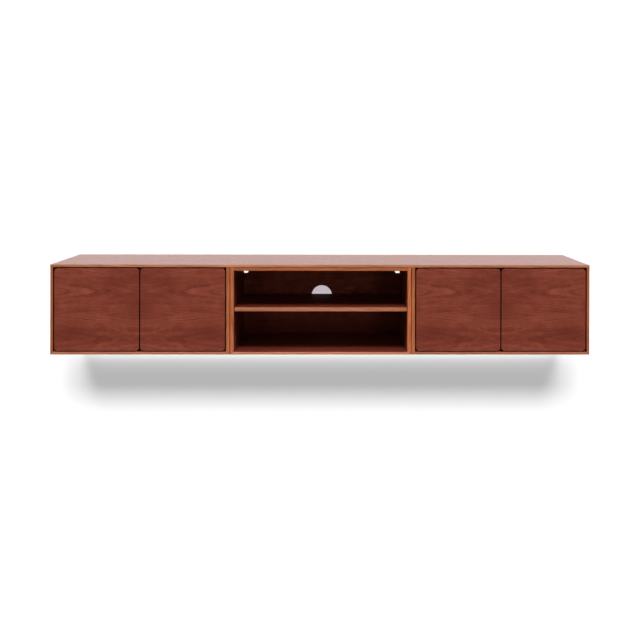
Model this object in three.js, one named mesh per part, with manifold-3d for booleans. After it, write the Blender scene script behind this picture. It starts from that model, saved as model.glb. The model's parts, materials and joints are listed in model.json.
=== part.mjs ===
// Wall-hung media console: one long top over three modules, with two pairs of
// inset doors on pivot pins, an open bay with a shelf, and hangers on wall rails.
// Millimetres, +Z up, front towards -Y, the wall at y = 0. The origin is the
// centre of the flat back of the middle wall rail.

import * as THREE from 'three';
import { mergeVertices } from 'three/addons/utils/BufferGeometryUtils.js';
import Module from 'manifold-3d';

const wasm = await Module();
wasm.setup();

// Whole console
const width = 2400;
const depth = 400;
const height = 400;

// Boards
const topThickness = 12;
const bottomThickness = 12;
const outerSideThickness = 12;
const innerSideThickness = 16;
const innerTopThickness = 15;
const shelfThickness = 18;
const backThickness = 6;
const doorThickness = 18;
const arrisRadius = 2;

// Modules and the space behind their backs
const middleWidth = 805;
const moduleSeam = 2;
const railRecess = 8;
const grooveDepth = 5;

// Clearances
const seat = 0.3;
const overrun = 2;
const weld = 0.001;

// Doors
const doorRecess = 1;
const doorGapSide = 5;
const doorGapTop = 5;
const doorGapBottom = 3.5;
const doorCornerRadius = 15;
const doorArris = 1.5;

// Door pivots
const pivotInset = 20;
const shankRadius = 3;
const shankLength = 20;
const spigotRadius = 2.7;
const spigotEngagement = 6;
const collarRadius = 7;
const bushRadius = 5;
const bushLength = 7;
const flangeRadius = 7.5;
const flangeThickness = 1;
const turnedChamfer = 0.5;
// The lower pin's collar runs on the flange of its bush
const collarThickness = doorGapBottom - flangeThickness - 3 * seat;

// Shelf and its pegs
const shelfDrop = 192;
const shelfSetback = 12;
const shelfEndGap = 2;
const shelfRearGap = 1;
const pegRadius = 2.5;
const pegDepth = 9;
const pegReach = 9;
const pegCollarRadius = 4;
const pegCollarThickness = 1.2;
const pegFromFront = 60;
const pegFromRear = 60;

// Cable hole
const cableHoleRadius = 50;
const cableHoleDrop = 200;

// Wall rails
const railSheet = 1.5;
const railWeb = 28;
const railLipGap = 4;
const railLip = 10;
const railEndGap = 1;
const railScrewRadius = 3;
const railScrewFromEnd = 70;
const railScrewCount = 4;

// Hangers: a steel hook plate on the side board and a moulded housing beside it
const hookThickness = 5;
const hookDrop = 18;
const hookNeck = 6;
const hookNose = 2.5;
const hookNoseReach = 7;
const hookPlateDepth = 34;
const hookPlateHeight = 44;
const hookPlateTopGap = 3;
const hookFillet = 2;
const hookSlotClearance = 1.5;
const housingWidth = 22;
const housingDepth = 40;
const housingHeight = 56;
const housingWall = 2;
const housingCorner = 2.5;
const housingShoulder = 7;
const adjusterRadius = 3.5;
const adjusterTopDrop = 20;
const adjusterBottomDrop = 42;

// Push latches
const latchWidth = 62;
const latchHeight = 22;
const latchLength = 60;
const latchFromDoor = 4;
const latchCorner = 4;
const latchSpacing = 44;
const latchAxisDrop = 13;
const plungerRadius = 4;
const plungerLength = 50;
const plungerNose = 1.2;
const boreDepth = 57;

// Numbers of flats on round forms
const arrisSteps = 4;
const doorCornerSteps = 8;
const doorArrisSteps = 2;
const turnedSides = 18;
const holeSides = 48;

// Levels, measured up from the origin
const housingTopDrop = topThickness + seat + innerTopThickness + seat;
const lipTopZ = railWeb / 2 + railLipGap + railLip;
const topZ = lipTopZ + seat + hookDrop + housingTopDrop;
const bottomZ = topZ - height;
const floorZ = bottomZ + bottomThickness;
const undersideZ = topZ - topThickness;
const sideTopZ = undersideZ - seat;
const innerTopZ = undersideZ - seat;
const innerUndersideZ = innerTopZ - innerTopThickness;
const housingTopZ = topZ - housingTopDrop;
const shelfTopZ = topZ - shelfDrop;

// Planes, measured from the wall
const frontY = -depth;
const backRearY = -railRecess;
const backFrontY = backRearY - backThickness;
const fittingRearY = backFrontY - seat;
const doorFrontY = frontY + doorRecess;
const doorRearY = doorFrontY + doorThickness;
const pivotY = (doorFrontY + doorRearY) / 2;

// The three modules: their outer faces and the faces inside their side boards
const half = width / 2;
const middleHalf = middleWidth / 2;
const bays = {
  left: bay(-half, outerSideThickness, -middleHalf - moduleSeam, innerSideThickness),
  middle: bay(-middleHalf, innerSideThickness, middleHalf, innerSideThickness),
  right: bay(middleHalf + moduleSeam, innerSideThickness, half, outerSideThickness),
};

function bay(outerLeft, leftThickness, outerRight, rightThickness) {
  return {
    outerLeft,
    outerRight,
    innerLeft: outerLeft + leftThickness,
    innerRight: outerRight - rightThickness,
  };
}

// Geometry helpers

// A closed three.js geometry as a solid that can be joined and cut
function toSolid(geometry) {
  const bare = geometry.clone();
  bare.deleteAttribute('normal');
  bare.deleteAttribute('uv');
  const merged = mergeVertices(bare, weld);
  const triVerts = [];
  for (let i = 0; i < merged.index.count; i += 3) {
    const [a, b, c] = [0, 1, 2].map((k) => merged.index.getX(i + k));
    if (a !== b && b !== c && c !== a) triVerts.push(a, b, c);
  }
  return new wasm.Manifold(new wasm.Mesh({
    numProp: 3,
    vertProperties: new Float32Array(merged.attributes.position.array),
    triVerts: new Uint32Array(triVerts),
  }));
}

function toGeometry(solid) {
  const mesh = solid.getMesh();
  const geometry = new THREE.BufferGeometry();
  geometry.setAttribute('position', new THREE.BufferAttribute(mesh.vertProperties, 3));
  geometry.setIndex(new THREE.BufferAttribute(mesh.triVerts, 1));
  geometry.computeVertexNormals();
  return geometry;
}

// A corner of an outline, rounded where it has a radius
function corner(x, y, radius = 0) {
  return { point: new THREE.Vector2(x, y), radius };
}

// An outline through corners, each rounded by an arc tangent to its two sides
function outline(corners, steps) {
  const points = [];
  corners.forEach(({ point, radius }, i) => {
    if (radius === 0) {
      points.push(point);
      return;
    }
    const before = corners.at(i - 1).point;
    const after = corners[(i + 1) % corners.length].point;
    const toBefore = before.clone().sub(point).normalize();
    const toAfter = after.clone().sub(point).normalize();
    const halfAngle = Math.acos(THREE.MathUtils.clamp(toBefore.dot(toAfter), -1, 1)) / 2;
    const toCentre = toBefore.clone().add(toAfter).normalize();
    const centre = point.clone().addScaledVector(toCentre, radius / Math.sin(halfAngle));
    const tangent = radius / Math.tan(halfAngle);
    const start = point.clone().addScaledVector(toBefore, tangent).sub(centre);
    const end = point.clone().addScaledVector(toAfter, tangent).sub(centre);
    const turn = Math.atan2(start.cross(end), start.dot(end));
    for (let k = 0; k <= steps; k += 1) {
      points.push(start.clone().rotateAround(new THREE.Vector2(), (turn * k) / steps).add(centre));
    }
  });
  return new THREE.Shape(points);
}

function rectangle(x0, x1, y0, y1) {
  return outline([corner(x0, y0), corner(x1, y0), corner(x1, y1), corner(x0, y1)], 1);
}

// Prisms along each axis, from one end plane to the other
const axes = {
  x: [new THREE.Vector3(0, 1, 0), new THREE.Vector3(0, 0, 1), new THREE.Vector3(1, 0, 0)],
  y: [new THREE.Vector3(1, 0, 0), new THREE.Vector3(0, 0, 1), new THREE.Vector3(0, -1, 0)],
  z: [new THREE.Vector3(1, 0, 0), new THREE.Vector3(0, 1, 0), new THREE.Vector3(0, 0, 1)],
};

// shape is drawn in Y-Z for a prism along X, X-Z along Y, and X-Y along Z
function prism(shape, axis, from, to) {
  const [u, v, w] = axes[axis];
  const start = axis === 'y' ? Math.max(from, to) : Math.min(from, to);
  const geometry = new THREE.ExtrudeGeometry(shape, { depth: Math.abs(to - from), bevelEnabled: false });
  geometry.applyMatrix4(new THREE.Matrix4().makeBasis(u, v, w));
  const shift = new THREE.Vector3();
  shift[axis] = start;
  geometry.translate(shift.x, shift.y, shift.z);
  return toSolid(geometry);
}

function box(x0, x1, y0, y1, z0, z1) {
  return prism(rectangle(x0, x1, y0, y1), 'z', z0, z1);
}

// A round bar between two points on a line along one axis
function bar(radius, axis, from, to, centre, sides = turnedSides) {
  const geometry = new THREE.CylinderGeometry(radius, radius, Math.abs(to - from), sides);
  if (axis === 'x') geometry.rotateZ(Math.PI / 2);
  if (axis === 'z') geometry.rotateX(Math.PI / 2);
  const place = centre.clone();
  place[axis] = (from + to) / 2;
  geometry.translate(place.x, place.y, place.z);
  return toSolid(geometry);
}

// A turned piece: (radius, height) pairs going up, revolved about a vertical axis
function turned(profile) {
  const points = profile.map(([radius, level]) => new THREE.Vector2(radius, level));
  const geometry = new THREE.LatheGeometry(points, turnedSides);
  geometry.rotateX(Math.PI / 2);
  return toSolid(geometry);
}

// Boards: a section with its two front arrises rounded, cut to its outline as
// seen from the front
function upright(x0, x1, elevation) {
  const section = outline([
    corner(x0, frontY, arrisRadius),
    corner(x1, frontY, arrisRadius),
    corner(x1, 0),
    corner(x0, 0),
  ], arrisSteps);
  const blank = prism(section, 'z', bottomZ - overrun, topZ + overrun);
  return blank.intersect(prism(elevation, 'y', overrun, frontY - overrun));
}

function level(z0, z1, elevation, y0 = frontY, y1 = 0) {
  const section = outline([
    corner(y0, z0, arrisRadius),
    corner(y1, z0),
    corner(y1, z1),
    corner(y0, z1, arrisRadius),
  ], arrisSteps);
  const blank = prism(section, 'x', -half - overrun, half + overrun);
  return blank.intersect(prism(elevation, 'y', overrun, frontY - overrun));
}

// The back of a bay, grown by a clearance where it is used as a cutter
function backBoard({ innerLeft, innerRight }, ceilingZ, clearance = 0) {
  const tongue = grooveDepth - seat + clearance;
  return box(
    innerLeft - tongue,
    innerRight + tongue,
    backFrontY - clearance,
    backRearY + clearance,
    floorZ - tongue,
    ceilingZ + tongue,
  );
}

// A side board: square at the top, mitred to the bottom board below
function sideBoard(outerX, innerX, groove) {
  const thickness = Math.abs(innerX - outerX);
  const lift = (seat * Math.hypot(thickness, bottomThickness)) / thickness;
  const elevation = outline([
    corner(outerX, bottomZ + lift),
    corner(innerX, floorZ + lift),
    corner(innerX, sideTopZ),
    corner(outerX, sideTopZ),
  ], 1);
  return upright(Math.min(outerX, innerX), Math.max(outerX, innerX), elevation).subtract(groove);
}

// A bottom board, mitred at both ends
function bottomBoard({ outerLeft, outerRight, innerLeft, innerRight }, groove) {
  const elevation = outline([
    corner(outerLeft, bottomZ),
    corner(outerRight, bottomZ),
    corner(innerRight, floorZ),
    corner(innerLeft, floorZ),
  ], 1);
  return level(bottomZ, floorZ, elevation).subtract(groove);
}

// Hangers. inward is +1 where the side board is on the left of its bay, else -1.
// The hook passes through the back board and drops behind the rail's lip.
function hookSpan(faceX, inward) {
  const from = faceX + inward * seat;
  return [from, from + inward * hookThickness];
}

const neckLowZ = lipTopZ + seat;
const neckTopZ = neckLowZ + hookNeck;

function hook(faceX, inward) {
  const noseFrontY = -railLipGap + seat;
  const plateFrontY = fittingRearY - hookPlateDepth;
  const plateTopZ = housingTopZ - hookPlateTopGap;
  const plateBottomZ = plateTopZ - hookPlateHeight;
  const shape = outline([
    corner(plateFrontY, plateBottomZ, hookFillet),
    corner(fittingRearY, plateBottomZ, hookFillet),
    corner(fittingRearY, neckLowZ),
    corner(noseFrontY, neckLowZ),
    corner(noseFrontY, neckLowZ - hookNoseReach),
    corner(noseFrontY + hookNose, neckLowZ - hookNoseReach),
    corner(noseFrontY + hookNose, neckTopZ, hookFillet),
    corner(fittingRearY, neckTopZ),
    corner(fittingRearY, plateTopZ, hookFillet),
    corner(plateFrontY, plateTopZ, hookFillet),
  ], arrisSteps);
  return prism(shape, 'x', ...hookSpan(faceX, inward));
}

// The opening in the back board that lets the hook's neck through
function hookSlot(faceX, inward) {
  const [from, to] = hookSpan(faceX, inward);
  return box(
    Math.min(from, to) - hookSlotClearance,
    Math.max(from, to) + hookSlotClearance,
    backFrontY - overrun,
    backRearY + overrun,
    neckLowZ - hookNoseReach - hookSlotClearance,
    neckTopZ + hookSlotClearance,
  );
}

// The moulded housing: a shell open at the back, with two bores for the
// adjusting screws and a rounded shoulder at its lower inner corner
function housing(faceX, inward) {
  const [, hookFaceX] = hookSpan(faceX, inward);
  const outerX = hookFaceX + inward * seat;
  const innerX = outerX + inward * housingWidth;
  const frontPlaneY = fittingRearY - housingDepth;
  const form = (inset) => outline([
    corner(outerX + inward * inset, housingTopZ - housingHeight + inset, housingCorner - inset),
    corner(innerX - inward * inset, housingTopZ - housingHeight + inset, housingShoulder - inset),
    corner(innerX - inward * inset, housingTopZ - inset, housingCorner - inset),
    corner(outerX + inward * inset, housingTopZ - inset, housingCorner - inset),
  ], arrisSteps);
  const cavity = prism(form(housingWall), 'y', fittingRearY + overrun, frontPlaneY + housingWall);
  let shell = prism(form(0), 'y', fittingRearY, frontPlaneY).subtract(cavity);
  for (const drop of [adjusterTopDrop, adjusterBottomDrop]) {
    const centre = new THREE.Vector3((outerX + innerX) / 2, 0, housingTopZ - drop);
    shell = shell.subtract(
      bar(adjusterRadius, 'y', frontPlaneY - overrun, frontPlaneY + housingWall + overrun, centre),
    );
  }
  return shell;
}

// A wall rail: a flat web on the wall, joggled forward into a lip
function wallRail({ innerLeft, innerRight }) {
  const bend = railSheet * (Math.SQRT2 - 1);
  const shape = outline([
    corner(0, -railWeb / 2),
    corner(0, railWeb / 2),
    corner(-railLipGap, railWeb / 2 + railLipGap),
    corner(-railLipGap, lipTopZ),
    corner(-railLipGap - railSheet, lipTopZ),
    corner(-railLipGap - railSheet, railWeb / 2 + railLipGap - bend),
    corner(-railSheet, railWeb / 2 - bend),
    corner(-railSheet, -railWeb / 2),
  ], 1);
  const from = innerLeft + railEndGap;
  const to = innerRight - railEndGap;
  let rail = prism(shape, 'x', from, to);
  const first = from + railScrewFromEnd;
  const pitch = (to - from - 2 * railScrewFromEnd) / (railScrewCount - 1);
  for (let i = 0; i < railScrewCount; i += 1) {
    const centre = new THREE.Vector3(first + pitch * i, 0, 0);
    rail = rail.subtract(bar(railScrewRadius, 'y', -railSheet - overrun, overrun, centre));
  }
  return rail;
}

// Pivots. Each is drawn standing on a board's face at level 0, with the door
// above it across a gap, and is turned over for the board above the door.
function bush() {
  const bore = spigotRadius + seat;
  return turned([
    [bore, -bushLength],
    [bushRadius - turnedChamfer, -bushLength],
    [bushRadius, turnedChamfer - bushLength],
    [bushRadius, seat],
    [flangeRadius, seat],
    [flangeRadius, seat + flangeThickness],
    [bore, seat + flangeThickness],
    [bore, -bushLength],
  ]);
}

function pin(gap) {
  const collarTop = gap - seat;
  return turned([
    [0, -spigotEngagement],
    [spigotRadius - turnedChamfer, -spigotEngagement],
    [spigotRadius, turnedChamfer - spigotEngagement],
    [spigotRadius, collarTop - collarThickness],
    [collarRadius, collarTop - collarThickness],
    [collarRadius, collarTop],
    [shankRadius, collarTop],
    [shankRadius, gap + shankLength - turnedChamfer],
    [shankRadius - turnedChamfer, gap + shankLength],
    [0, gap + shankLength],
  ]);
}

// The blind hole for a bush; the flange sits on the board's face
function bushHole(x, faceZ, into) {
  const end = faceZ + into * (bushLength + seat);
  const centre = new THREE.Vector3(x, pivotY, 0);
  return bar(bushRadius + seat, 'z', faceZ - into * overrun, end, centre);
}

// Doors, named by cabinet and by which of its side boards they hang on
const doors = [];
for (const [side, outerSign] of [['left', -1], ['right', 1]]) {
  const { innerLeft, innerRight } = bays[side];
  const doorWidth = (innerRight - innerLeft - 3 * doorGapSide) / 2;
  for (const place of ['outer', 'inner']) {
    const hangsLeft = (place === 'outer') === (outerSign < 0);
    const hingeX = hangsLeft ? innerLeft + doorGapSide : innerRight - doorGapSide;
    const inward = hangsLeft ? 1 : -1;
    const bayCentreX = (innerLeft + innerRight) / 2;
    doors.push({
      name: `${side}_${place}`,
      side,
      hingeX,
      inward,
      freeX: hingeX + inward * doorWidth,
      pivotX: hingeX + inward * pivotInset,
      latchX: bayCentreX - (inward * latchSpacing) / 2,
    });
  }
}
const doorTopZ = undersideZ - doorGapTop;
const doorBottomZ = floorZ + doorGapBottom;

// A door: rounded corners, eased arrises and a blind hole for each pivot pin
function door({ hingeX, freeX, pivotX }) {
  const left = Math.min(hingeX, freeX) + doorArris;
  const right = Math.max(hingeX, freeX) - doorArris;
  const low = doorBottomZ + doorArris;
  const high = doorTopZ - doorArris;
  const radius = doorCornerRadius - doorArris;
  const shape = outline([
    corner(left, low, radius),
    corner(right, low, radius),
    corner(right, high, radius),
    corner(left, high, radius),
  ], doorCornerSteps);
  const geometry = new THREE.ExtrudeGeometry(shape, {
    depth: doorThickness - 2 * doorArris,
    bevelThickness: doorArris,
    bevelSize: doorArris,
    bevelSegments: doorArrisSteps,
  });
  geometry.applyMatrix4(new THREE.Matrix4().makeBasis(...axes.y));
  geometry.translate(0, doorRearY - doorArris, 0);
  const centre = new THREE.Vector3(pivotX, pivotY, 0);
  const holeRadius = shankRadius + seat;
  const holeDepth = shankLength + seat;
  return toSolid(geometry)
    .subtract(bar(holeRadius, 'z', doorTopZ + overrun, doorTopZ - holeDepth, centre))
    .subtract(bar(holeRadius, 'z', doorBottomZ - overrun, doorBottomZ + holeDepth, centre));
}

// Push latches: one twin housing under the top behind each pair of doors, with
// a sprung plunger for each door
const latchTopZ = undersideZ - seat;
const latchAxisZ = latchTopZ - latchAxisDrop;
const latchFrontY = doorRearY + latchFromDoor;

function latchHousing(pair) {
  const centreX = (pair[0].latchX + pair[1].latchX) / 2;
  const shape = outline([
    corner(centreX - latchWidth / 2, latchTopZ - latchHeight, latchCorner),
    corner(centreX + latchWidth / 2, latchTopZ - latchHeight, latchCorner),
    corner(centreX + latchWidth / 2, latchTopZ),
    corner(centreX - latchWidth / 2, latchTopZ),
  ], arrisSteps);
  let body = prism(shape, 'y', latchFrontY + latchLength, latchFrontY);
  for (const { latchX } of pair) {
    const centre = new THREE.Vector3(latchX, 0, latchAxisZ);
    body = body.subtract(
      bar(plungerRadius + seat, 'y', latchFrontY - overrun, latchFrontY + boreDepth, centre),
    );
  }
  return body;
}

// A plunger, drawn pointing up and laid down to point at its door
function plunger() {
  return turned([
    [0, -plungerLength],
    [plungerRadius - turnedChamfer, -plungerLength],
    [plungerRadius, turnedChamfer - plungerLength],
    [plungerRadius, -plungerNose],
    [plungerRadius - plungerNose, 0],
    [0, 0],
  ]);
}

// A shelf peg: a pin in the side board with a collar against its face
function pegHole(faceX, inward, y) {
  const centre = new THREE.Vector3(0, y, shelfPegZ);
  return bar(pegRadius + seat, 'x', faceX - inward * (pegDepth + seat), faceX + inward * overrun, centre);
}

function peg(faceX, inward, y) {
  const centre = new THREE.Vector3(0, y, shelfPegZ);
  const collarFrom = faceX + inward * seat;
  const collarTo = collarFrom + inward * pegCollarThickness;
  return bar(pegRadius, 'x', faceX - inward * pegDepth, faceX + inward * pegReach, centre)
    .add(bar(pegCollarRadius, 'x', collarFrom, collarTo, centre));
}

const shelfUndersideZ = shelfTopZ - shelfThickness;
const shelfPegZ = shelfUndersideZ - seat - pegRadius;
const pegPlaces = {
  front: frontY + shelfSetback + pegFromFront,
  rear: fittingRearY - pegFromRear,
};

function shelf({ innerLeft, innerRight }) {
  const elevation = rectangle(
    innerLeft + shelfEndGap,
    innerRight - shelfEndGap,
    shelfUndersideZ - overrun,
    shelfTopZ + overrun,
  );
  const rearY = backFrontY - shelfRearGap;
  return level(shelfUndersideZ, shelfTopZ, elevation, frontY + shelfSetback, rearY);
}

// The assembly
const finishes = {
  top: { color: 0x8f4f38, roughness: 0.35, metalness: 0 },
  carcass: { color: 0x96583a, roughness: 0.4, metalness: 0 },
  back: { color: 0x733826, roughness: 0.55, metalness: 0 },
  door: { color: 0x824130, roughness: 0.38, metalness: 0 },
  steel: { color: 0xb4b8bc, roughness: 0.35, metalness: 1 },
  blackSteel: { color: 0x2c2a2a, roughness: 0.4, metalness: 1 },
  housing: { color: 0xf2f2f0, roughness: 0.45, metalness: 0 },
  greyPlastic: { color: 0x403e3e, roughness: 0.5, metalness: 0 },
};

const part = new THREE.Group();

function add(name, solid, finish, position = new THREE.Vector3(), turn = 0) {
  const material = new THREE.MeshStandardMaterial(finishes[finish]);
  const mesh = new THREE.Mesh(toGeometry(solid), material);
  mesh.name = name;
  mesh.position.copy(position);
  mesh.rotation.x = turn;
  part.add(mesh);
}

// The long top, eased at its ends and front, with grooves for the side modules'
// backs and holes for the doors' upper bushes
function topPanel(grooves) {
  const elevation = outline([
    corner(-half, undersideZ),
    corner(half, undersideZ),
    corner(half, topZ, arrisRadius),
    corner(-half, topZ, arrisRadius),
  ], arrisSteps);
  let board = level(undersideZ, topZ, elevation);
  for (const groove of grooves) board = board.subtract(groove);
  for (const { pivotX } of doors) board = board.subtract(bushHole(pivotX, undersideZ, 1));
  return board;
}

const grooves = {
  left: backBoard(bays.left, undersideZ, seat),
  middle: backBoard(bays.middle, innerUndersideZ, seat),
  right: backBoard(bays.right, undersideZ, seat),
};
add('top_panel', topPanel([grooves.left, grooves.right]), 'top');

// Side modules
const sideNames = {
  left: { innerLeft: 'outer', innerRight: 'inner' },
  right: { innerLeft: 'inner', innerRight: 'outer' },
};
for (const [side, names] of Object.entries(sideNames)) {
  const module = bays[side];
  const groove = grooves[side];
  const pair = doors.filter((each) => each.side === side);
  const leftSide = sideBoard(module.outerLeft, module.innerLeft, groove);
  const rightSide = sideBoard(module.outerRight, module.innerRight, groove);
  let bottom = bottomBoard(module, groove);
  for (const { pivotX } of pair) bottom = bottom.subtract(bushHole(pivotX, floorZ, -1));
  add(`${side}_${names.innerLeft}_side`, leftSide, 'carcass');
  add(`${side}_${names.innerRight}_side`, rightSide, 'carcass');
  add(`${side}_bottom`, bottom, 'carcass');
  const back = backBoard(module, undersideZ)
    .subtract(hookSlot(module.innerLeft, 1))
    .subtract(hookSlot(module.innerRight, -1));
  add(`${side}_back`, back, 'back');
  add(`latch_housing_${side}`, latchHousing(pair), 'greyPlastic');
}

// Middle module
const { middle } = bays;
const shelfHoles = (faceX, inward) => pegHole(faceX, inward, pegPlaces.front)
  .add(pegHole(faceX, inward, pegPlaces.rear));
const middleLeft = sideBoard(middle.outerLeft, middle.innerLeft, grooves.middle)
  .subtract(shelfHoles(middle.innerLeft, 1));
const middleRight = sideBoard(middle.outerRight, middle.innerRight, grooves.middle)
  .subtract(shelfHoles(middle.innerRight, -1));
const innerTop = level(innerUndersideZ, innerTopZ, rectangle(
  middle.innerLeft + seat,
  middle.innerRight - seat,
  innerUndersideZ - overrun,
  innerTopZ + overrun,
)).subtract(grooves.middle);
const cableHole = bar(
  cableHoleRadius,
  'y',
  backFrontY - overrun,
  backRearY + overrun,
  new THREE.Vector3(0, 0, topZ - cableHoleDrop),
  holeSides,
);
const middleBack = backBoard(middle, innerUndersideZ)
  .subtract(cableHole)
  .subtract(hookSlot(middle.innerLeft, 1))
  .subtract(hookSlot(middle.innerRight, -1));
add('middle_left_side', middleLeft, 'carcass');
add('middle_right_side', middleRight, 'carcass');
add('middle_top', innerTop, 'carcass');
add('middle_bottom', bottomBoard(middle, grooves.middle), 'carcass');
add('middle_back', middleBack, 'back');
add('middle_shelf', shelf(middle), 'carcass');
for (const [place, y] of Object.entries(pegPlaces)) {
  add(`shelf_peg_${place}_left`, peg(middle.innerLeft, 1, y), 'steel');
  add(`shelf_peg_${place}_right`, peg(middle.innerRight, -1, y), 'steel');
}

// Rails on the wall, one behind each module, and two hangers in each module
for (const [side, module] of Object.entries(bays)) {
  add(`wall_rail_${side}`, wallRail(module), 'steel');
  const names = sideNames[side] ?? { innerLeft: 'left', innerRight: 'right' };
  for (const [face, inward] of [['innerLeft', 1], ['innerRight', -1]]) {
    add(`hook_${side}_${names[face]}`, hook(module[face], inward), 'steel');
    add(`hanger_${side}_${names[face]}`, housing(module[face], inward), 'housing');
  }
}

// Doors with their pivots and latch plungers
for (const each of doors) {
  const { name, pivotX, latchX } = each;
  const lower = new THREE.Vector3(pivotX, pivotY, floorZ);
  const upper = new THREE.Vector3(pivotX, pivotY, undersideZ);
  const tip = new THREE.Vector3(latchX, doorRearY + seat, latchAxisZ);
  add(`door_${name}`, door(each), 'door');
  add(`pivot_bush_lower_${name}`, bush(), 'greyPlastic', lower);
  add(`pivot_bush_upper_${name}`, bush(), 'greyPlastic', upper, Math.PI);
  add(`pivot_pin_lower_${name}`, pin(doorGapBottom), 'blackSteel', lower);
  add(`pivot_pin_upper_${name}`, pin(doorGapTop), 'blackSteel', upper, Math.PI);
  add(`latch_plunger_${name}`, plunger(), 'greyPlastic', tip, Math.PI / 2);
}

export default part;
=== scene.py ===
"""Looks of the wall-hung media console: veneers, fittings, studio and camera.

Metres, +Z up, the wall at y = 0, the doors facing -Y.
"""

import json
from math import cos, pi, radians, sin

import bmesh
import bpy
from mathutils import Euler, Matrix, Vector

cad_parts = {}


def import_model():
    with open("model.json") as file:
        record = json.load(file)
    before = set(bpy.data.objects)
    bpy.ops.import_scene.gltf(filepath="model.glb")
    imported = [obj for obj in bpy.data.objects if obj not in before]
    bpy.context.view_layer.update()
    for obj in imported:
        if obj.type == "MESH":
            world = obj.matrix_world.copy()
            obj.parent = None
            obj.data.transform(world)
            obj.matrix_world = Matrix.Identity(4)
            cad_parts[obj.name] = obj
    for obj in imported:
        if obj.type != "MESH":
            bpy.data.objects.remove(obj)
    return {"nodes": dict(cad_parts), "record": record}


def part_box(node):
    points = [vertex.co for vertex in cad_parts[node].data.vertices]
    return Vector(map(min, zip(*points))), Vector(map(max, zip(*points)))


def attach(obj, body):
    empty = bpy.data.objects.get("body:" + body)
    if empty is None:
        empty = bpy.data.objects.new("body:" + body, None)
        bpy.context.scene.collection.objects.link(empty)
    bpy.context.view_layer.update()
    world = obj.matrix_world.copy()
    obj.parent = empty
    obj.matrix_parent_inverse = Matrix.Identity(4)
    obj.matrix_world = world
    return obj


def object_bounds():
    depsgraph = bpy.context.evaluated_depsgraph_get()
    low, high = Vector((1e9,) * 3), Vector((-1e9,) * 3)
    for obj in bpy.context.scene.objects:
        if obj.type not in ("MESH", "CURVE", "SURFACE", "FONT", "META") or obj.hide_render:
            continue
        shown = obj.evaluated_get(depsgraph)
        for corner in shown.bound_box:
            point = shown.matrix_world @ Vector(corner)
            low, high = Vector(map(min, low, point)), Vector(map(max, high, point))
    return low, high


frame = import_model()
bpy.context.view_layer.update()
cad_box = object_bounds()
nodes = frame["nodes"]
body_of_node = {n: body for body, names in frame["record"]["behaviour"]["bodies"].items() for n in names}

# Places read from the frame
console_low, console_high = cad_box
door_low, door_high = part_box("door_left_outer")
door_width = door_high.x - door_low.x
pair_centre_x = abs(door_high.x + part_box("door_left_inner")[0].x) / 2

# The photograph's camera
FRAME_PIXELS = 640
SENSOR_MM = 36
FOCAL_PIXELS = 768.5
PRINCIPAL_POINT_PIXELS = (338.87, 168.45)
CAMERA_PLACE = (0.0467, -3.8195, 0.5089)
CAMERA_YAW = radians(-0.5457)
CAMERA_PITCH = radians(0.1003)
CAMERA_ROLL = radians(0.1458)


def srgb(red, green, blue):
    """A display colour, 0 to 255, as the linear colour that shaders take."""
    shares = [c / 255 for c in (red, green, blue)]
    return (*[s / 12.92 if s <= 0.04045 else ((s + 0.055) / 1.055) ** 2.4 for s in shares], 1)


# Shader graphs

class Graph:
    """A material's node tree, written as expressions that return sockets."""

    def __init__(self, name):
        self.material = bpy.data.materials.new(name)
        self.material.use_nodes = True
        self.tree = self.material.node_tree
        self.surface = self.tree.nodes["Principled BSDF"]
        coordinates = self.node("ShaderNodeTexCoord")
        self.place = coordinates.outputs["Object"]
        self.normal = coordinates.outputs["Normal"]

    def node(self, kind, inputs=None, **settings):
        made = self.tree.nodes.new(kind)
        for key, value in settings.items():
            setattr(made, key, value)
        for key, value in (inputs or {}).items():
            self.set(made.inputs[key], value)
        return made

    def set(self, socket, value):
        if isinstance(value, bpy.types.NodeSocket):
            self.tree.links.new(value, socket)
        else:
            socket.default_value = value

    def math(self, operation, *values):
        made = self.node("ShaderNodeMath", operation=operation)
        for socket, value in zip(made.inputs, values):
            self.set(socket, value)
        return made.outputs[0]

    def add(self, a, b):
        return self.math("ADD", a, b)

    def times(self, a, b):
        return self.math("MULTIPLY", a, b)

    def split(self, vector):
        made = self.node("ShaderNodeSeparateXYZ", {"Vector": vector})
        return [made.outputs[axis] for axis in "XYZ"]

    def join(self, x, y, z):
        return self.node("ShaderNodeCombineXYZ", {"X": x, "Y": y, "Z": z}).outputs[0]

    def scaled_place(self, cells):
        """The place as a noise vector with so many cells a metre."""
        return self.join(*[self.times(axis, cells) for axis in self.split(self.place)])

    def span(self, value, low, high, to_low=0.0, to_high=1.0):
        """value between low and high, mapped smoothly to the range to_low to to_high."""
        made = self.node("ShaderNodeMapRange", {
            "Value": value, "From Min": low, "From Max": high, "To Min": to_low, "To Max": to_high,
        }, interpolation_type="SMOOTHSTEP")
        return made.outputs["Result"]

    def noise(self, vector, detail, roughness=0.55):
        """Noise with cells one unit of the vector wide, and with detail finer layers."""
        made = self.node("ShaderNodeTexNoise", {
            "Vector": vector, "Scale": 1.0, "Detail": detail, "Roughness": roughness,
        })
        return made.outputs["Fac"]

    def mix(self, share, a, b):
        """Colour a, with b over it by share; the numbers are the mixer's colour sockets."""
        made = self.node("ShaderNodeMix", {0: share, 6: a, 7: b}, data_type="RGBA")
        return made.outputs[2]

    def bump(self, height, distance):
        made = self.node("ShaderNodeBump", {"Height": height, "Distance": distance})
        self.set(self.surface.inputs["Normal"], made.outputs[0])

    def finish(self, **values):
        names = {"colour": "Base Color", "roughness": "Roughness", "metallic": "Metallic",
                 "specular": "Specular IOR Level"}
        for key, value in values.items():
            self.set(self.surface.inputs[names[key]], value)
        return self.material


# Wood

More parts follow.
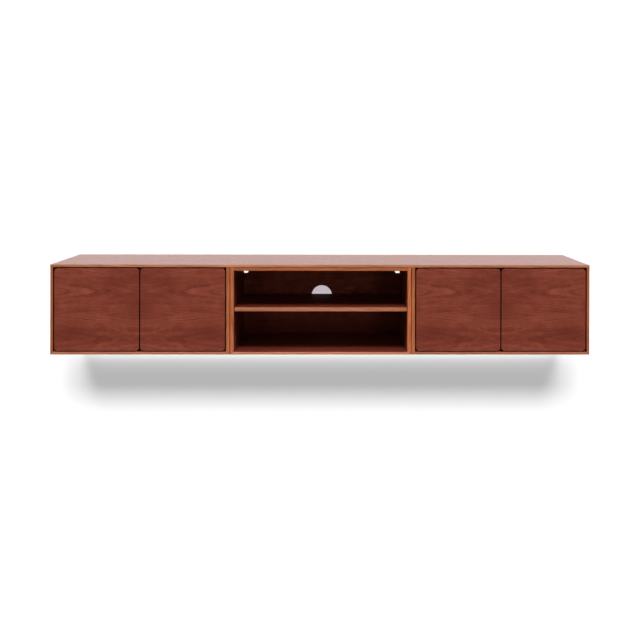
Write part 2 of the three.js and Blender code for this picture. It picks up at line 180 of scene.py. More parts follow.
# Light and dark tone of the doors and outer faces, of the long top's face, of the
# boards in the open bay, and of the plain and the pale edges that show at the front.
# The long top's tones are the veneer made lighter, painted light as on a face lit from
# above; the bay's are the veneer made darker, painted shade of the bay's inside
FACE_LIGHT, FACE_DARK = srgb(145, 73, 56), srgb(99, 39, 28)
PAINTED_LIT_TOP_LIGHT, PAINTED_LIT_TOP_DARK = srgb(162, 85, 59), srgb(120, 55, 35)
PAINTED_SHADE_BAY_LIGHT, PAINTED_SHADE_BAY_DARK = srgb(116, 51, 36), srgb(78, 26, 15)
EDGE_LIGHT, EDGE_DARK = srgb(194, 113, 74), srgb(145, 74, 43)
PALE_EDGE_LIGHT, PALE_EDGE_DARK = srgb(199, 131, 97), srgb(150, 87, 58)
PORE = srgb(56, 22, 16)

# Lowest and highest roughness and the specular level of each lacquer, and the
# specular level of a glossy board's front edge
SHEENS = {"gloss": (0.24, 0.32, 0.53), "satin": (0.36, 0.44, 0.10), "matt": (0.68, 0.80, 0.02)}
EDGE_SPECULAR = 0.10

# The range that most of a noise lies in
NOISE_LOW, NOISE_HIGH = 0.30, 0.70

# The wood's noises: the width of a cell across the grain and its length along it, how
# many finer layers there are, and how much each layer adds to the one before
RINGS = (0.008, 3.0, 3.0, 0.6)
BANDS = (0.030, 0.60, 4.0, 0.6)
STREAKS = (0.0045, 0.16, 5.0, 0.65)
FLECKS = (0.0020, 0.030, 3.0, 0.7)
PORES = (0.0006, 0.012, 1.0, 0.55)
MOTTLES = (0.050, 0.045, 3.0, 0.6)

# How far apart the rings' dark lines are, and over what size and how far they waver
RING_PITCH = 0.013
WARP_WIDTH, WARP_LENGTH = 0.040, 0.13
WARP_LAYERS, WARP_HEIGHT = 2.0, 0.008

# The flat-cut figure of a board: how far apart its hearts are and how far below the
# face, how fast its rings taper, how far a heart moves from board to board, and how
# much slower the rings pass across a face than into it
HEARTS_APART = 0.31
HEART_DEPTH = 0.02
RING_TAPER = 0.08
HEART_STEP = 0.02
ACROSS_SHARE = 0.75

# How far a seed shifts the noise along a board and into it, in cells
SEED_STEP_ALONG, SEED_STEP_DEEP = 7.31, 3.17

# How each noise tells: its lowest and highest level, and the share of the light tone
# that it adds at these
GROWTH_TONES = (0.38, 0.52, 0.08, 0.35)
BAND_TONES = (NOISE_LOW, NOISE_HIGH, -0.11, 0.24)
STREAK_TONES = (NOISE_LOW, NOISE_HIGH, 0.0, 0.30)
FLECK_TONES = (NOISE_LOW, NOISE_HIGH, -0.10, 0.24)
MOTTLE_TONES = (NOISE_LOW, NOISE_HIGH, -0.11, 0.19)

# The dark line at each ring: its width as a share of the pitch, what it takes from
# the light tone, and how it fades with the soft bands
LINE_WIDTH_SHARE = 0.2
LINE_DEPTH = 0.42
LINE_FADE = (0.40, 0.60, 0.35, 1.0)

# Pores: from which level of their noise they show, and their depth of colour
PORE_LEVELS = (0.60, 0.74)
PORE_SHARE = 0.45
PORE_ROUGHNESS = 0.12

# How far a face's normal turns before it counts as facing the front or the floor
TURNED, NOT_TURNED = -0.75, -0.35

# The front edges' own grain, and a painted shadow line of the seam at the top of one
EDGE_BAND_SHARE = 0.6
EDGE_LEVEL_LOW, EDGE_LEVEL_HIGH = 0.5, 1.05
SEAM_SHADOW_HEIGHT = 0.0012
SEAM_SHADOW_SHARE = 0.75

# The relief of streaks and pores, and the streaks' span of sheen
RELIEF_HEIGHT = 0.00006
STREAK_RELIEF = 0.5
SHEEN_LEVELS = (0.25, 0.75)


def grain_vector(graph, along, across, deep, width, length, seed):
    """A noise vector whose cells are width by length; seed shifts it to another board."""
    return graph.join(
        graph.add(graph.times(along, 1 / length), seed * SEED_STEP_ALONG),
        graph.times(across, 1 / width),
        graph.add(graph.times(deep, 1 / width), seed * SEED_STEP_DEEP),
    )


def growth_rings(graph, along, across, seed, heart, hearts_apart, taper):
    """Distance from a log's heart, metres, on a flat-cut face.

    Lines of equal distance are arches that open along the grain, and one heart
    follows the next across it.
    """
    sideways = graph.math("PINGPONG", graph.add(across, -heart), hearts_apart / 2)
    distance = graph.math("SQRT", graph.add(graph.times(sideways, sideways), HEART_DEPTH ** 2))
    warp_vector = grain_vector(graph, along, across, 0.0, WARP_WIDTH, WARP_LENGTH, seed)
    warp = graph.times(graph.add(graph.noise(warp_vector, WARP_LAYERS), -0.5), WARP_HEIGHT)
    return graph.add(graph.add(distance, graph.times(along, -taper)), warp)


def edge_colour(graph, streaks, tone, z, edges, seam_shadow_z):
    """The solid front edge's colour, with a painted shadow line of the seam just below seam_shadow_z."""
    light, dark = edges
    grain = graph.add(streaks, graph.times(tone, EDGE_BAND_SHARE))
    colour = graph.mix(graph.span(grain, EDGE_LEVEL_LOW, EDGE_LEVEL_HIGH), dark, light)
    if seam_shadow_z:
        seam_shadow = graph.span(z, seam_shadow_z - 2 * SEAM_SHADOW_HEIGHT, seam_shadow_z - SEAM_SHADOW_HEIGHT, 0.0, SEAM_SHADOW_SHARE)
        colour = graph.mix(seam_shadow, colour, FACE_DARK)
    return colour


def light_share(graph, rings, tone, growth, streaks, flecks, mottle):
    """The light tone's share at each place of a board, from its noises and its rings' lines."""
    from_line = graph.math("PINGPONG", graph.times(rings, 1 / RING_PITCH), 0.5)
    line = graph.span(from_line, 0.0, LINE_WIDTH_SHARE, 1.0, 0.0)
    line = graph.times(line, graph.span(tone, *LINE_FADE))
    share = graph.add(graph.span(growth, *GROWTH_TONES), graph.times(line, -LINE_DEPTH))
    for noise, tones in ((tone, BAND_TONES), (streaks, STREAK_TONES), (flecks, FLECK_TONES),
                         (mottle, MOTTLE_TONES)):
        share = graph.add(share, graph.span(noise, *tones))
    return share


def wood(name, along_axis, seed, light=FACE_LIGHT, dark=FACE_DARK, edges=(EDGE_LIGHT, EDGE_DARK),
         sheen="satin", shade=None, leaf=None, seam_shadow_z=None, plain_below=False):
    """A veneered board.

    leaf gives its figure, and shade darkens or lightens places of it: the doors' patches
    of tone, and the painted shade at the foot of the middle back. Its front edge has the
    tones of edges, and seam_shadow_z is the level of its top, below which a painted shadow
    line of the seam under the long top shows there. With plain_below its underside has
    the tones and sheen of the outer faces, not the bay's painted shade.
    """
    graph = Graph(name)
    x, y, z = graph.split(graph.place)
    along, across, deep = {"x": (x, y, z), "z": (z, y, x)}[along_axis]
    if leaf:
        along, across, rings = leaf(graph, x, z)
    else:
        broad = graph.add(graph.times(across, ACROSS_SHARE), deep)
        rings = growth_rings(graph, along, broad, seed, HEART_STEP * seed, HEARTS_APART, RING_TAPER)

    def grain(cells, across_place=across, depth_place=deep):
        width, length, layers, layer_share = cells
        vector = grain_vector(graph, along, across_place, depth_place, width, length, seed)
        return graph.noise(vector, layers, layer_share)

    growth = grain(RINGS, rings, 0.0)
    tone = grain(BANDS)
    streaks = grain(STREAKS, rings, 0.0)
    flecks = grain(FLECKS)
    mottle = grain(MOTTLES)
    pore = graph.span(grain(PORES), *PORE_LEVELS)

    share = light_share(graph, rings, tone, growth, streaks, flecks, mottle)
    if shade:
        share = graph.times(share, shade(graph, x, z))
    colour = graph.mix(share, dark, light)
    if plain_below:
        below = graph.span(graph.split(graph.normal)[2], TURNED, NOT_TURNED, 1.0, 0.0)
        colour = graph.mix(below, colour, graph.mix(share, FACE_DARK, FACE_LIGHT))
    if edges:
        facing = graph.span(graph.split(graph.normal)[1], TURNED, NOT_TURNED, 1.0, 0.0)
        colour = graph.mix(facing, colour, edge_colour(graph, streaks, tone, z, edges, seam_shadow_z))
    colour = graph.mix(graph.times(pore, PORE_SHARE), colour, PORE)
    relief = graph.add(graph.times(streaks, STREAK_RELIEF), graph.times(pore, -1.0))
    graph.bump(relief, RELIEF_HEIGHT)
    smooth, rough, specular = SHEENS[sheen]
    if plain_below:
        below_smooth, below_rough, specular = SHEENS["satin"]
        smooth = graph.span(below, 0.0, 1.0, smooth, below_smooth)
        rough = graph.span(below, 0.0, 1.0, rough, below_rough)
    lacquer = graph.span(streaks, *SHEEN_LEVELS, smooth, rough)
    roughness = graph.add(lacquer, graph.times(pore, PORE_ROUGHNESS))
    if edges and specular > EDGE_SPECULAR:
        specular = graph.span(facing, 0.0, 1.0, specular, EDGE_SPECULAR)
    return graph.finish(colour=colour, roughness=roughness, specular=specular)


# The doors' leaf: its hearts, whose arches point at the gap between the doors of a
# pair, and its darker side there; the doors of a pair mirror each other
DOOR_SEED = 5
DOOR_HEART_Z = -0.045
DOOR_HEARTS_APART = 0.212
DOOR_TAPER = 0.11
DOOR_RING_SHIFT = 0.0275
DOOR_SHADE_AT_GAP, DOOR_SHADE_AWAY = 0.84, 0.96
DOOR_SHADE_WIDTH_SHARE = 0.6


def distance_from_gap(graph, x):
    return graph.math("ABSOLUTE", graph.add(graph.math("ABSOLUTE", x), -pair_centre_x))


def door_leaf(graph, x, z):
    from_gap = distance_from_gap(graph, x)
    rings = growth_rings(graph, from_gap, z, DOOR_SEED, DOOR_HEART_Z, DOOR_HEARTS_APART, DOOR_TAPER)
    return from_gap, z, graph.add(rings, DOOR_RING_SHIFT)


# Soft patches of the doors' colour: distance from the gap and level of the centre,
# reach along and across, and how much lighter (above 0) or darker it is there
DOOR_PATCHES = (
    ((0.000, 0.018), (0.100, 0.060), -0.38),
    ((0.105, -0.002), (0.110, 0.034), -0.44),
    ((0.026, -0.112), (0.080, 0.080), -0.46),
    ((0.315, -0.235), (0.200, 0.078), -0.66),
    ((0.240, -0.040), (0.110, 0.044), 0.36),
    ((0.260, 0.045), (0.180, 0.018), 0.26),
    ((0.179, -0.166), (0.090, 0.030), 0.30),
    ((0.150, -0.290), (0.140, 0.032), 0.45),
    ((0.080, -0.212), (0.110, 0.042), 0.36),
)


def door_shade(graph, x, z):
    from_gap = distance_from_gap(graph, x)
    reach = DOOR_SHADE_WIDTH_SHARE * door_width
    shade = graph.span(from_gap, 0.0, reach, DOOR_SHADE_AT_GAP, DOOR_SHADE_AWAY)
    for (centre_x, centre_z), (reach_x, reach_z), strength in DOOR_PATCHES:
        dx = graph.times(graph.add(from_gap, -centre_x), 1 / reach_x)
        dz = graph.times(graph.add(z, -centre_z), 1 / reach_z)
        distance = graph.math("SQRT", graph.add(graph.times(dx, dx), graph.times(dz, dz)))
        shade = graph.add(shade, graph.span(distance, 0.0, 1.0, strength, 0.0))
    return shade


# Painted shade: the middle back darkens towards the bay's floor, between these levels
# and to this share of its tone
BACK_PAINTED_SHADE_FROM, BACK_PAINTED_SHADE_TO = -0.305, -0.200
BACK_PAINTED_SHADE = 0.10


def back_painted_shade(graph, x, z):
    return graph.span(z, BACK_PAINTED_SHADE_FROM, BACK_PAINTED_SHADE_TO, BACK_PAINTED_SHADE, 1.0)


# Fittings

# Their dark and light tones
ZINC_TONES = srgb(168, 172, 178), srgb(206, 208, 210)
STEEL_TONES = srgb(38, 36, 36), srgb(54, 51, 50)
WHITE_TONES = srgb(234, 238, 240), srgb(242, 246, 248)
GREY_TONES = srgb(56, 54, 54), srgb(66, 64, 64)

# Noise cells a metre: the zinc's bloom and its fine grain, the turning marks and the
# wear of the blackened steel, and the texture and clouds of the mouldings
BLOOM_CELLS, ZINC_GRAIN_CELLS = 90, 900
TURNING_CELLS, WEAR_CELLS = 9000, 120
TEXTURE_CELLS, CLOUD_CELLS = 1400, 60

# Heights of their relief, their lowest and highest roughness, and the specular levels
# of the mouldings
ZINC_RELIEF, TURNING_RELIEF, TEXTURE_RELIEF = 0.00003, 0.00002, 0.00004
ZINC_ROUGHNESS = (0.28, 0.42)
STEEL_ROUGHNESS = (0.40, 0.55)
MOULDED_ROUGHNESS = (0.42, 0.55)
WHITE_SPECULAR, GREY_SPECULAR = 0.35, 0.2


def zinc():
    graph = Graph("zinc_plate")
    bloom = graph.noise(graph.scaled_place(BLOOM_CELLS), detail=4.0, roughness=0.6)
    colour = graph.mix(bloom, *ZINC_TONES)
    graph.bump(graph.noise(graph.scaled_place(ZINC_GRAIN_CELLS), detail=2.0), ZINC_RELIEF)
    roughness = graph.span(bloom, NOISE_LOW, NOISE_HIGH, *ZINC_ROUGHNESS)
    return graph.finish(colour=colour, roughness=roughness, metallic=1.0)


def black_steel():
    graph = Graph("blackened_steel")
    level = graph.split(graph.place)[2]
    rings = graph.noise(graph.join(0.0, 0.0, graph.times(level, TURNING_CELLS)), detail=2.0)
    wear = graph.noise(graph.scaled_place(WEAR_CELLS), detail=3.0)
    colour = graph.mix(wear, *STEEL_TONES)
    graph.bump(rings, TURNING_RELIEF)
    roughness = graph.span(wear, NOISE_LOW, NOISE_HIGH, *STEEL_ROUGHNESS)
    return graph.finish(colour=colour, roughness=roughness, metallic=1.0)


def moulded(name, tones, specular):
    """Fine-textured moulded plastic."""
    graph = Graph(name)
    texture = graph.noise(graph.scaled_place(TEXTURE_CELLS), detail=2.0, roughness=0.5)
    cloud = graph.noise(graph.scaled_place(CLOUD_CELLS), detail=2.0)
    graph.bump(texture, TEXTURE_RELIEF)
    colour = graph.mix(graph.span(cloud, NOISE_LOW, NOISE_HIGH), *tones)
    roughness = graph.span(texture, NOISE_LOW, NOISE_HIGH, *MOULDED_ROUGHNESS)
    return graph.finish(colour=colour, roughness=roughness, specular=specular)


ZINC = zinc()
BLACK_STEEL = black_steel()
WHITE_PLASTIC = moulded("white_plastic", WHITE_TONES, WHITE_SPECULAR)
GREY_PLASTIC = moulded("grey_plastic", GREY_TONES, GREY_SPECULAR)
DOOR_WOOD = wood("door_wood", "x", DOOR_SEED, edges=None, shade=door_shade, leaf=door_leaf)
SLOT_MATERIALS = {"zinc_steel": ZINC, "black_steel": BLACK_STEEL, "white_plastic": WHITE_PLASTIC,
                  "grey_plastic": GREY_PLASTIC, "door_wood": DOOR_WOOD}

# Words in the names of the upright boards and of the open bay's boards
UPRIGHT_WORD = "_side"
BAY_WORD = "middle_"

# Weld distance, and the edge angles under which the nodes' facets and the turned
# pieces' facets are shaded smooth
WELD_DISTANCE = 1e-6
NODE_SMOOTH_ANGLE = radians(50)
PIECE_SMOOTH_ANGLE = radians(35)

# How much a face's area counts in the shading of its corners: the most that it can
AREA_WEIGHT = 100

# The front edges that are darker or lighter than the others
EDGE_LEVELS = {"top_panel": 1.07, "left_outer_side": 0.82, "right_outer_side": 0.92,
               "middle_left_side": 1.13, "middle_right_side": 1.46,
               "left_bottom": 0.93, "middle_bottom": 1.30, "right_bottom": 0.85}
PALE_EDGED = ("top_panel", "left_bottom", "middle_bottom", "right_bottom", "middle_shelf")


def edge_tones(name):
    tones = (PALE_EDGE_LIGHT, PALE_EDGE_DARK) if name in PALE_EDGED else (EDGE_LIGHT, EDGE_DARK)
    level = EDGE_LEVELS.get(name, 1.0)
    return [(*[c * level for c in tone[:3]], 1) for tone in tones]


def soften_group():
    """Welds a faceted solid and shades it smooth where its facets meet at a shallow angle."""
    group = bpy.data.node_groups.new("soften", "GeometryNodeTree")
    group.interface.new_socket("Geometry", in_out="INPUT", socket_type="NodeSocketGeometry")
    group.interface.new_socket("Geometry", in_out="OUTPUT", socket_type="NodeSocketGeometry")
    make, link = group.nodes.new, group.links.new
    source, result = make("NodeGroupInput"), make("NodeGroupOutput")
    drop = make("GeometryNodeRemoveAttribute")
    drop.inputs["Name"].default_value = "custom_normal"
    weld = make("GeometryNodeMergeByDistance")
    weld.inputs["Distance"].default_value = WELD_DISTANCE
    angle = make("GeometryNodeInputMeshEdgeAngle")
    shallow = make("FunctionNodeCompare")
    shallow.data_type = "FLOAT"
    shallow.operation = "LESS_THAN"
    shallow.inputs[1].default_value = NODE_SMOOTH_ANGLE
    faces, edges = make("GeometryNodeSetShadeSmooth"), make("GeometryNodeSetShadeSmooth")
    edges.domain = "EDGE"
    link(source.outputs[0], drop.inputs["Geometry"])
    link(drop.outputs["Geometry"], weld.inputs["Geometry"])
    link(weld.outputs["Geometry"], faces.inputs["Geometry"])
    link(faces.outputs["Geometry"], edges.inputs["Geometry"])
    link(angle.outputs["Unsigned Angle"], shallow.inputs[0])
    link(shallow.outputs["Result"], edges.inputs["Shade Smooth"])
    link(edges.outputs["Geometry"], result.inputs[0])
    return group


def wood_of(name, slot, seed):
    """The material of a wooden node, which is named after the node."""
    own = f"{name}_wood"
    if slot == "back_wood":
        # The middle back carries painted shade towards the bay's floor
        shade = back_painted_shade if name == "middle_back" else None
        return wood(own, "x", seed, edges=None, sheen="matt", shade=shade)
    if slot == "top_wood":
        # The long top takes lighter tones of the veneer: painted light on its face
        return wood(own, "x", seed, PAINTED_LIT_TOP_LIGHT, PAINTED_LIT_TOP_DARK, edge_tones(name), "gloss")
    along_axis = "z" if name.endswith(UPRIGHT_WORD) else "x"
    in_bay = name.startswith(BAY_WORD)
    # The bay's level boards take darker tones: painted shade of the bay's inside
    tones = (PAINTED_SHADE_BAY_LIGHT, PAINTED_SHADE_BAY_DARK) if in_bay and along_axis == "x" else (FACE_LIGHT, FACE_DARK)
    # The middle top gets a painted shadow line of the seam under the long top
    return wood(own, along_axis, seed, *tones, edge_tones(name), "matt" if in_bay else "satin",
                seam_shadow_z=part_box(name)[1].z if name == "middle_top" else None,
                plain_below=name == "middle_bottom")


def dress_nodes():
    soften = soften_group()
    slots = {s["node"]: s["material_slot"] for s in frame["record"]["subparts"]}
    for seed, (name, node) in enumerate(sorted(nodes.items())):
        slot = slots[name]
        node.material_slots[0].material = SLOT_MATERIALS.get(slot) or wood_of(name, slot, seed)
        node.modifiers.new("soften", "NODES").node_group = soften
        # Keeps the large flat faces flat beside their rounded arrises
        weigh = node.modifiers.new("weigh", "WEIGHTED_NORMAL")
        weigh.mode = "FACE_AREA"
        weigh.weight = AREA_WEIGHT
        weigh.keep_sharp = True


# Pieces that the solids leave out

ROUND_SIDES = 32


def object_of(form, name, place=(0, 0, 0)):
    """The form as an object in the scene."""
    mesh = bpy.data.meshes.new(name)
    form.to_mesh(mesh)
    form.free()
    made = bpy.data.objects.new(name, mesh)
    bpy.context.scene.collection.objects.link(made)
    made.location = place
    return made


def lathe(name, profile, centre):
    """A piece turned about an axis along Y: (radius, y) pairs, closed at both ends."""
    form = bmesh.new()
    rings = []
    for radius, y in profile:
        ring = [form.verts.new((radius * cos(2 * pi * i / ROUND_SIDES), y,
                                radius * sin(2 * pi * i / ROUND_SIDES))) for i in range(ROUND_SIDES)]
        rings.append(ring)
    for a, b in zip(rings, rings[1:]):
        for i in range(ROUND_SIDES):
            j = (i + 1) % ROUND_SIDES
            form.faces.new((a[i], a[j], b[j], b[i]))
    form.faces.new(rings[0][::-1])
    form.faces.new(rings[-1])
    bmesh.ops.recalc_face_normals(form, faces=form.faces)
    return object_of(form, name, centre)


def cut_cross(piece, arm, slit, depth):
    """Cuts a cross recess into the piece's front: its arms' length and width, and its depth."""
    a, s = arm / 2, slit / 2
    outline = [(-s, -a), (s, -a), (s, -s), (a, -s), (a, s), (s, s),
               (s, a), (-s, a), (-s, s), (-a, s), (-a, -s), (-s, -s)]
    form = bmesh.new()
    front, rear = [[form.verts.new((x, y, z)) for x, z in outline] for y in (-depth, depth)]
    for i in range(len(outline)):
        form.faces.new((front[i - 1], front[i], rear[i], rear[i - 1]))
    form.faces.new(front[::-1])
    form.faces.new(rear)
    bmesh.ops.recalc_face_normals(form, faces=form.faces)
    cutter = object_of(form, "cutter", piece.location)
    boolean = piece.modifiers.new("cut", "BOOLEAN")
    boolean.object = cutter
    boolean.solver = "EXACT"
    bpy.context.view_layer.update()
    evaluated = piece.evaluated_get(bpy.context.evaluated_depsgraph_get())
    result = bpy.data.meshes.new_from_object(evaluated)
    piece.modifiers.clear()
    piece.data = result
    bpy.data.objects.remove(cutter)


def finish_piece(piece, material, body):
    piece.data.materials.clear()
    piece.data.materials.append(material)
    piece.data.shade_smooth()
    piece.data.set_sharp_from_angle(angle=PIECE_SMOOTH_ANGLE)
    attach(piece, body)


# A screw head's dome and its cross recess, as shares of the head's height and radius;
# the shoulder's height is a share of the dome's
DOME_SHARE = 0.35
CROWN_RADIUS_SHARE = 0.72
SHOULDER_RADIUS_SHARE = 0.93
SHOULDER_HEIGHT_SHARE = 0.4
RECESS_ARM_SHARE = 1.05
RECESS_SLIT_SHARE = 0.26
RECESS_DEPTH_SHARE = 0.6


def cross_screw(name, head_radius, head_height, shank_radius, front, rear_y, body):
    """A pan-head screw with a cross recess, its head's top at front."""
    dome = head_height * DOME_SHARE
    piece = lathe(name, [
        (head_radius * CROWN_RADIUS_SHARE, 0.0),
        (head_radius * SHOULDER_RADIUS_SHARE, dome * SHOULDER_HEIGHT_SHARE),
        (head_radius, dome),
        (head_radius, head_height),
        (shank_radius, head_height),
        (shank_radius, rear_y - front.y),
    ], front)
    cut_cross(piece, head_radius * RECESS_ARM_SHARE, head_radius * RECESS_SLIT_SHARE,
              head_height * RECESS_DEPTH_SHARE)
    finish_piece(piece, ZINC, body)


# Adjusting screws in the hangers' two bores, below the top of each housing
ADJUSTER_DROPS = (0.020, 0.042)
ADJUSTER_HEAD_RADIUS = 0.0030
ADJUSTER_HEAD_HEIGHT = 0.0022
ADJUSTER_SHANK_RADIUS = 0.0024
ADJUSTER_INSET = 0.0008
ADJUSTER_LENGTH = 0.010

# Screws in the wall rails' holes
RAIL_SCREW_HEAD_RADIUS = 0.0050
RAIL_SCREW_HEAD_HEIGHT = 0.0024
RAIL_SCREW_SHANK_RADIUS = 0.0024
RAIL_SHEET = 0.0015
RAIL_SCREW_FROM_END = 0.070
RAIL_SCREW_COUNT = 4

# Strike plates that the latch plungers push on
STRIKE_RADIUS = 0.0060
STRIKE_PROUD = 0.00015
STRIKE_SUNK = 0.0008


def add_hanger_screws():
    for name in [n for n in nodes if n.startswith("hanger_")]:
        low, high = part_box(name)
        for place, drop in zip(("upper", "lower"), ADJUSTER_DROPS):
            front = Vector(((low.x + high.x) / 2, low.y + ADJUSTER_INSET, high.z - drop))
            cross_screw(f"{place}_screw_{name}", ADJUSTER_HEAD_RADIUS, ADJUSTER_HEAD_HEIGHT,
                        ADJUSTER_SHANK_RADIUS, front, front.y + ADJUSTER_LENGTH, body_of_node[name])


def add_rail_screws():
    for name in [n for n in nodes if n.startswith("wall_rail_")]:
        low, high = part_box(name)
        first = low.x + RAIL_SCREW_FROM_END
        pitch = (high.x - low.x - 2 * RAIL_SCREW_FROM_END) / (RAIL_SCREW_COUNT - 1)
        for i in range(RAIL_SCREW_COUNT):
            front = Vector((first + pitch * i, high.y - RAIL_SHEET - RAIL_SCREW_HEAD_HEIGHT, 0.0))
            cross_screw(f"screw_{i + 1}_{name}", RAIL_SCREW_HEAD_RADIUS, RAIL_SCREW_HEAD_HEIGHT,
                        RAIL_SCREW_SHANK_RADIUS, front, high.y, body_of_node[name])


def add_strike_plates():
    for name in [n for n in nodes if n.startswith("latch_plunger_")]:
        door = name.replace("latch_plunger", "door")
        low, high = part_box(name)
        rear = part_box(door)[1].y
        centre = Vector(((low.x + high.x) / 2, rear, (low.z + high.z) / 2))
        piece = lathe(name.replace("latch_plunger", "strike_plate"), [
            (STRIKE_RADIUS, -STRIKE_SUNK),
            (STRIKE_RADIUS, 0.0),
            (STRIKE_RADIUS - STRIKE_PROUD, STRIKE_PROUD),
        ], centre)
        finish_piece(piece, ZINC, body_of_node[door])


# Studio

# The sweep behind and below the console, its colour and its roughness
BACKDROP_HALF_WIDTH = 9.0
BACKDROP_TOP = 7.0
FLOOR_Z = -1.30
FLOOR_FRONT = -9.0
COVE_RADIUS = 0.50
COVE_STEPS = 16
BACKDROP_Y = 0.001
BACKDROP_ALBEDO = srgb(150, 150, 150)
BACKDROP_ROUGHNESS = (0.92, 0.98)

# How much the wall and the floor glow of themselves
BACKDROP_GLOW, FLOOR_GLOW = 0.455, 0.57

# Distant lamps: the side that each shines from (0 is the front, 90 the right) and its
# elevation, in degrees, its strength, and the angle in degrees that it seems wide
SUNS = {
    "backdrop_light_left": (-8.5, 38.8, 4.1, 16),
    "backdrop_light_right": (9.5, 38.8, 4.1, 16),
    "key_light": (0, 66, 2.5, 20),
    "front_light": (0, 2, 1.5, 6),
    "left_light": (-86, 20, 1.3, 20),
    "right_light": (86, 20, 1.3, 20),
    "rear_light": (180, -12, 1.3, 25),
    "back_light_left": (-18, 2, 0.09, 12),
    "back_light_right": (18, 2, 0.17, 12),
    "hanger_light": (0, 3, 1.9, 4),
}

# The strip lamp under the console: its place, depth, tilt and strength
WASH_FROM_WALL = 0.055
WASH_DROP = 0.004
WASH_DEPTH = 0.02
WASH_TILT = -0.28
WASH_WATTS = 25.0

# The disc lamp in the cable hole, and how far the hole is below the console's top
HOLE_WASH_SIZE = 0.11
HOLE_WASH_WATTS = 0.0092
HOLE_WASH_COLOUR = (1.0, 0.29, 0.78)
CABLE_HOLE_DROP = 0.200

# Pieces behind the fronts, which the front lamp passes by
SHADED_WORDS = ("middle_back", "latch_", "pivot_", "hanger_left", "hanger_right")

# How much of the white surroundings lights the object's shaded sides
AMBIENT = 0.045


def backdrop():
    """A pale sweep: wall, cove and floor. Only the camera sees it, and only from its front."""
    centre_y, centre_z = BACKDROP_Y - COVE_RADIUS, FLOOR_Z + COVE_RADIUS
    line = [(BACKDROP_Y, BACKDROP_TOP)]
    for i in range(COVE_STEPS + 1):
        turn = pi / 2 * i / COVE_STEPS
        line.append((centre_y + COVE_RADIUS * cos(turn), centre_z - COVE_RADIUS * sin(turn)))
    line.append((FLOOR_FRONT, FLOOR_Z))
    form = bmesh.new()
    left, right = [[form.verts.new((x, y, z)) for y, z in line]
                   for x in (-BACKDROP_HALF_WIDTH, BACKDROP_HALF_WIDTH)]
    for i in range(len(line) - 1):
        form.faces.new((left[i], left[i + 1], right[i + 1], right[i]))
    sweep = object_of(form, "backdrop")
    sweep.data.shade_smooth()

    graph = Graph("backdrop")
    cloud = graph.noise(graph.place, detail=2.0)
    roughness = graph.span(cloud, NOISE_LOW, NOISE_HIGH, *BACKDROP_ROUGHNESS)
    graph.finish(colour=BACKDROP_ALBEDO, roughness=roughness, specular=0.0)
    graph.surface.inputs["Emission Color"].default_value = (1, 1, 1, 1)
    level = graph.split(graph.place)[2]
    glow = graph.span(level, FLOOR_Z, FLOOR_Z + COVE_RADIUS, FLOOR_GLOW, BACKDROP_GLOW)
    graph.set(graph.surface.inputs["Emission Strength"], glow)
    clear = graph.node("ShaderNodeBsdfTransparent")
    behind = graph.node("ShaderNodeNewGeometry").outputs["Backfacing"]
    both = graph.node("ShaderNodeMixShader", {0: behind, 1: graph.surface.outputs[0], 2: clear.outputs[0]})
    graph.set(graph.tree.nodes["Material Output"].inputs["Surface"], both.outputs[0])
    sweep.data.materials.append(graph.material)
    sweep.visible_diffuse = False
    sweep.visible_glossy = False
    sweep.visible_transmission = False
    sweep.visible_shadow = False
    return sweep


def lamp(name, kind, strength, source, receiver_group, glints):
    """A lamp that shines from the side that source points to, on a group's pieces only.

    With glints it also shows in the gloss of what it lights.
    """
    data = bpy.data.lights.new(name, kind)
    data.energy = strength
    made = bpy.data.objects.new(name, data)
    bpy.context.scene.collection.objects.link(made)
    made.rotation_euler = source.to_track_quat("Z", "Y").to_euler()
    made.visible_glossy = glints
    made.light_linking.receiver_collection = receiver_group
    return made


def sun(name, receiver_group, glints=True):
    """A soft distant lamp."""
    azimuth, elevation, strength, width = SUNS[name]
    a, e = radians(azimuth), radians(elevation)
    source = Vector((sin(a) * cos(e), -cos(a) * cos(e), sin(e)))
    lamp(name, "SUN", strength, source, receiver_group, glints).data.angle = radians(width)


def wash(name, shape, size, watts, colour, place, tilt, receiver_group):
    """An unseen lamp close to the wall that shines on it."""
    made = lamp(name, "AREA", watts, Vector((0, -1, tilt)), receiver_group, glints=False)
    made.data.shape = shape
    made.data.size, made.data.size_y = size
    made.data.color = colour
    made.location = place
    made.visible_camera = False


def receivers(name, pieces, state="INCLUDE"):
    """A group of the pieces that a lamp lights, or with EXCLUDE of those that it passes by."""
    group = bpy.data.collections.new(name)
    for piece in pieces:
        group.objects.link(piece)
    for member in group.collection_objects:
        member.light_linking.link_state = state
    return group


def world():
    made = bpy.data.worlds.new("studio")
    made.use_nodes = True
    bpy.context.scene.world = made
    tree = made.node_tree
    background = tree.nodes["Background"]
    path = tree.nodes.new("ShaderNodeLightPath")
    seen = path.outputs["Is Camera Ray"]
    for ray in ("Is Glossy Ray", "Is Transmission Ray"):
        either = tree.nodes.new("ShaderNodeMath")
        either.operation = "MAXIMUM"
        tree.links.new(seen, either.inputs[0])
        tree.links.new(path.outputs[ray], either.inputs[1])
        seen = either.outputs[0]
    strength = tree.nodes.new("ShaderNodeMapRange")
    strength.inputs["To Min"].default_value = AMBIENT
    strength.inputs["To Max"].default_value = 1.0
    tree.links.new(seen, strength.inputs["Value"])
    tree.links.new(strength.outputs["Result"], background.inputs["Strength"])
    background.inputs["Color"].default_value = (1, 1, 1, 1)


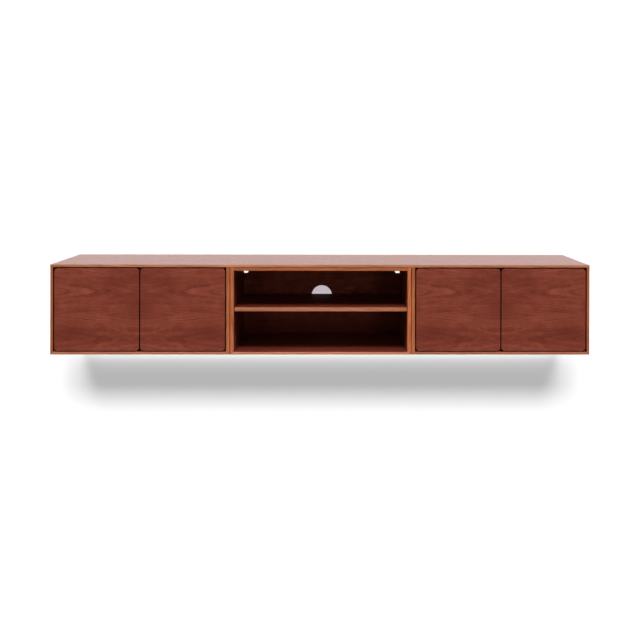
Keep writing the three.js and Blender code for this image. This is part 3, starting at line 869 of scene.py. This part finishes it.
def studio():
    sweep = backdrop()
    on_sweep = receivers("backdrop_lit", [sweep])
    on_object = receivers("object_lit", [sweep], "EXCLUDE")
    shaded = [node for name, node in nodes.items() if name.startswith(SHADED_WORDS)]
    on_fronts = receivers("fronts_lit", [sweep, *shaded], "EXCLUDE")
    on_back = receivers("back_lit", [nodes["middle_back"]])
    on_hangers = receivers("hangers_lit", [nodes["hanger_middle_left"], nodes["hanger_middle_right"]])
    sun("backdrop_light_left", on_sweep)
    sun("backdrop_light_right", on_sweep)
    wash("wall_wash", "RECTANGLE", (console_high.x - console_low.x, WASH_DEPTH), WASH_WATTS, (1, 1, 1),
         (0, -WASH_FROM_WALL, console_low.z - WASH_DROP), WASH_TILT, on_sweep)
    wash("hole_wash", "DISK", (HOLE_WASH_SIZE, HOLE_WASH_SIZE), HOLE_WASH_WATTS, HOLE_WASH_COLOUR,
         (0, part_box("middle_back")[1].y, console_high.z - CABLE_HOLE_DROP), 0, on_sweep)
    sun("key_light", on_object)
    sun("front_light", on_fronts, glints=False)
    sun("left_light", on_object, glints=False)
    sun("right_light", on_object, glints=False)
    sun("rear_light", on_object, glints=False)
    sun("back_light_left", on_back)
    sun("back_light_right", on_back)
    sun("hanger_light", on_hangers)
    world()
    bpy.context.scene.view_settings.view_transform = "Standard"


def camera():
    data = bpy.data.cameras.new("camera")
    data.sensor_width = SENSOR_MM
    data.lens = FOCAL_PIXELS / FRAME_PIXELS * SENSOR_MM
    middle = FRAME_PIXELS / 2
    data.shift_x = (middle - PRINCIPAL_POINT_PIXELS[0]) / FRAME_PIXELS
    data.shift_y = (PRINCIPAL_POINT_PIXELS[1] - middle) / FRAME_PIXELS
    made = bpy.data.objects.new("camera", data)
    bpy.context.scene.collection.objects.link(made)
    turn = Euler((pi / 2 - CAMERA_PITCH, 0, CAMERA_YAW)).to_matrix().to_4x4()
    made.matrix_world = Matrix.Translation(CAMERA_PLACE) @ turn @ Matrix.Rotation(CAMERA_ROLL, 4, "Z")
    bpy.context.scene.camera = made


camera()
dress_nodes()
add_hanger_screws()
add_rail_screws()
add_strike_plates()
studio()

bpy.context.view_layer.update()
